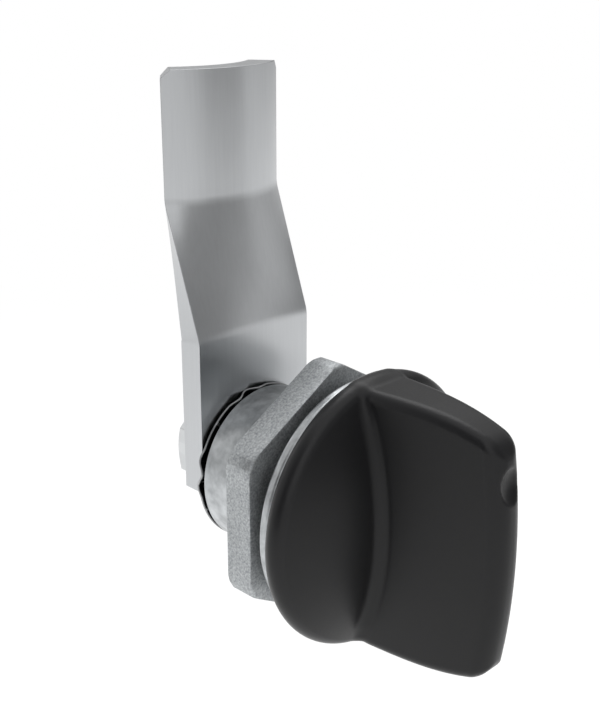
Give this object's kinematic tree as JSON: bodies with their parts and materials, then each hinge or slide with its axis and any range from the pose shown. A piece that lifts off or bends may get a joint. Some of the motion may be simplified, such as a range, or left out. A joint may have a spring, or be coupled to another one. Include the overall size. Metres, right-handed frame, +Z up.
{
  "type": "quarter-turn cam latch",
  "caption": "Quarter-turn cam latch: a black wing knob on a round flange, a threaded barrel with a hex nut, and a cranked cam with an arched tip held by a hex screw.",
  "frame": {"origin": "centre of the flange's back face, which lies on the panel, on the latch axis", "axes": "+Y along the latch axis into the cabinet, so the knob is at -Y; +Z up, the way the cam points in the picture; +X to the right seen from the knob"},
  "size_m": [0.033, 0.0485, 0.0647],
  "materials": {
    "zinc_housing": "zinc die casting, smooth satin nickel",
    "cast_nut": "zinc die casting, fine blasted grain",
    "black_plastic": "black glass-filled polyamide, fine matt texture",
    "plated_steel": "zinc-plated steel",
    "cam_steel": "formed steel, bright nickel plating",
    "spring_steel": "hardened spring steel",
    "seal_rubber": "black nitrile rubber"
  },
  "bodies": {
    "housing": {"housing": "zinc_housing", "panel_seal": "seal_rubber", "stop_pin": "plated_steel"},
    "nut": {"hex_nut": "cast_nut"},
    "rotor": {"wing_knob": "black_plastic", "spindle": "plated_steel", "spindle_seal": "seal_rubber", "wave_washer": "spring_steel", "cam": "cam_steel", "cam_washer": "plated_steel", "lock_washer": "spring_steel", "cam_screw": "plated_steel"}
  },
  "joints": [
    {"name": "knob_turn", "type": "hinge", "parent": "housing", "child": "rotor", "pos_m": [0, 0, 0], "axis": [0, 1, 0], "range_deg": [0, 90]},
    {"name": "nut_travel", "type": "slide", "parent": "housing", "child": "nut", "axis": [0, 1, 0], "range_m": [-0.0015, 0.009]}
  ]
}
